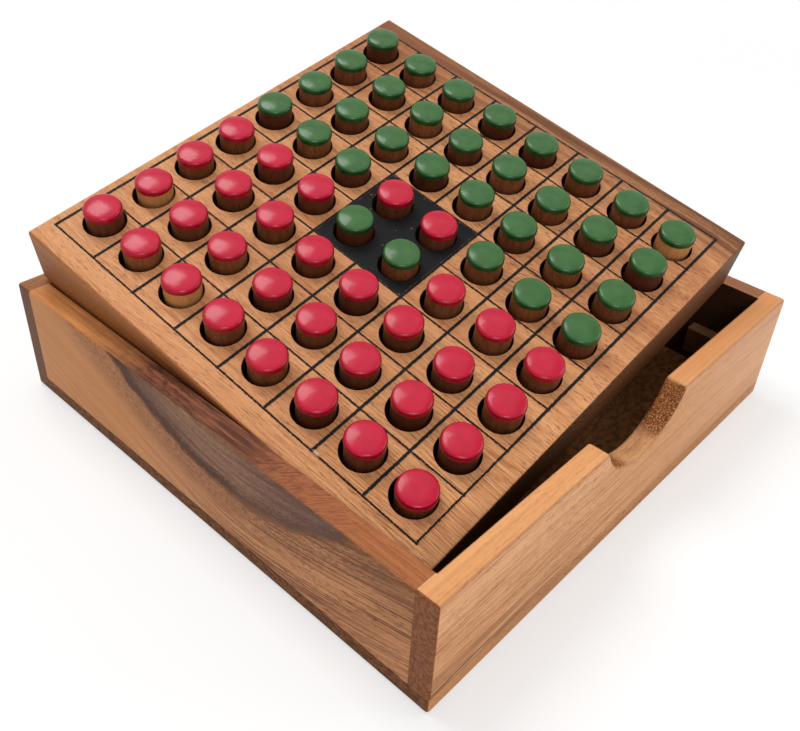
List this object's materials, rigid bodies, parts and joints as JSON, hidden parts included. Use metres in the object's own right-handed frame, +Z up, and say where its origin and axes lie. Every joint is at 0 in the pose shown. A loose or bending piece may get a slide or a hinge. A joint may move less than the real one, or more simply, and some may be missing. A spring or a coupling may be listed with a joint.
{
  "type": "reversi board game",
  "caption": "Open square wooden game case with a finger notch, its drilled peg board leaning in it, with two-coloured pegs that lift out of their holes.",
  "frame": {"origin": "centre of the case's underside", "axes": "+Z up, -Y towards the wall with the finger notch, +X to the right of someone who faces that wall"},
  "size_m": [0.175, 0.175, 0.0956],
  "materials": {
    "case_wood": "satin",
    "plate_wood": "satin",
    "cleat_wood": "matte",
    "board_wood": "satin",
    "peg_wood": "satin",
    "red_paint": "gloss",
    "green_paint": "gloss",
    "black_paint": "matte"
  },
  "bodies": {
    "case": {"bottom_plate": "plate_wood", "front_wall": "case_wood", "back_wall": "case_wood", "left_wall": "case_wood", "right_wall": "case_wood", "front_left_cleat": "cleat_wood", "front_right_cleat": "cleat_wood", "back_left_cleat": "cleat_wood", "back_right_cleat": "cleat_wood"},
    "board": {"game_board": "board_wood", "grid_lines": "black_paint", "centre_field": "black_paint"},
    "pegs_column_1": {"pegs_column_1_wood": "peg_wood", "pegs_column_1_red_ends_up": "red_paint", "pegs_column_1_green_ends_down": "green_paint"},
    "pegs_column_2": {"pegs_column_2_wood": "peg_wood", "pegs_column_2_red_ends_up": "red_paint", "pegs_column_2_green_ends_down": "green_paint"},
    "pegs_column_3": {"pegs_column_3_wood": "peg_wood", "pegs_column_3_red_ends_up": "red_paint", "pegs_column_3_green_ends_down": "green_paint"},
    "pegs_column_4": {"pegs_column_4_wood": "peg_wood", "pegs_column_4_red_ends_up": "red_paint", "pegs_column_4_green_ends_down": "green_paint"},
    "pegs_column_5": {"pegs_column_5_wood": "peg_wood", "pegs_column_5_green_ends_up": "green_paint", "pegs_column_5_red_ends_down": "red_paint"},
    "pegs_column_6": {"pegs_column_6_wood": "peg_wood", "pegs_column_6_green_ends_up": "green_paint", "pegs_column_6_red_ends_down": "red_paint"},
    "pegs_column_7": {"pegs_column_7_wood": "peg_wood", "pegs_column_7_green_ends_up": "green_paint", "pegs_column_7_red_ends_down": "red_paint"},
    "pegs_column_8": {"pegs_column_8_wood": "peg_wood", "pegs_column_8_green_ends_up": "green_paint", "pegs_column_8_red_ends_down": "red_paint"},
    "pegs_start_1": {"pegs_start_1_wood": "peg_wood", "pegs_start_1_green_ends_up": "green_paint", "pegs_start_1_red_ends_down": "red_paint"},
    "pegs_start_2": {"pegs_start_2_wood": "peg_wood", "pegs_start_2_red_ends_up": "red_paint", "pegs_start_2_green_ends_down": "green_paint"},
    "pegs_start_3": {"pegs_start_3_wood": "peg_wood", "pegs_start_3_green_ends_up": "green_paint", "pegs_start_3_red_ends_down": "red_paint"},
    "pegs_start_4": {"pegs_start_4_wood": "peg_wood", "pegs_start_4_red_ends_up": "red_paint", "pegs_start_4_green_ends_down": "green_paint"}
  },
  "joints": [
    {"name": "board_lift", "type": "slide", "parent": "case", "child": "board", "axis": [0, 0, 1], "range_m": [0, 0.06]},
    {"name": "pegs_column_1_lift", "type": "slide", "parent": "board", "child": "pegs_column_1", "axis": [-0.2109, -0.2283, 0.9505], "range_m": [0, 0.018]},
    {"name": "pegs_column_2_lift", "type": "slide", "parent": "board", "child": "pegs_column_2", "axis": [-0.2109, -0.2283, 0.9505], "range_m": [0, 0.018]},
    {"name": "pegs_column_3_lift", "type": "slide", "parent": "board", "child": "pegs_column_3", "axis": [-0.2109, -0.2283, 0.9505], "range_m": [0, 0.018]},
    {"name": "pegs_column_4_lift", "type": "slide", "parent": "board", "child": "pegs_column_4", "axis": [-0.2109, -0.2283, 0.9505], "range_m": [0, 0.018]},
    {"name": "pegs_column_5_lift", "type": "slide", "parent": "board", "child": "pegs_column_5", "axis": [-0.2109, -0.2283, 0.9505], "range_m": [0, 0.018]},
    {"name": "pegs_column_6_lift", "type": "slide", "parent": "board", "child": "pegs_column_6", "axis": [-0.2109, -0.2283, 0.9505], "range_m": [0, 0.018]},
    {"name": "pegs_column_7_lift", "type": "slide", "parent": "board", "child": "pegs_column_7", "axis": [-0.2109, -0.2283, 0.9505], "range_m": [0, 0.018]},
    {"name": "pegs_column_8_lift", "type": "slide", "parent": "board", "child": "pegs_column_8", "axis": [-0.2109, -0.2283, 0.9505], "range_m": [0, 0.018]},
    {"name": "pegs_start_1_lift", "type": "slide", "parent": "board", "child": "pegs_start_1", "axis": [-0.2109, -0.2283, 0.9505], "range_m": [0, 0.018]},
    {"name": "pegs_start_2_lift", "type": "slide", "parent": "board", "child": "pegs_start_2", "axis": [-0.2109, -0.2283, 0.9505], "range_m": [0, 0.018]},
    {"name": "pegs_start_3_lift", "type": "slide", "parent": "board", "child": "pegs_start_3", "axis": [-0.2109, -0.2283, 0.9505], "range_m": [0, 0.018]},
    {"name": "pegs_start_4_lift", "type": "slide", "parent": "board", "child": "pegs_start_4", "axis": [-0.2109, -0.2283, 0.9505], "range_m": [0, 0.018]}
  ]
}
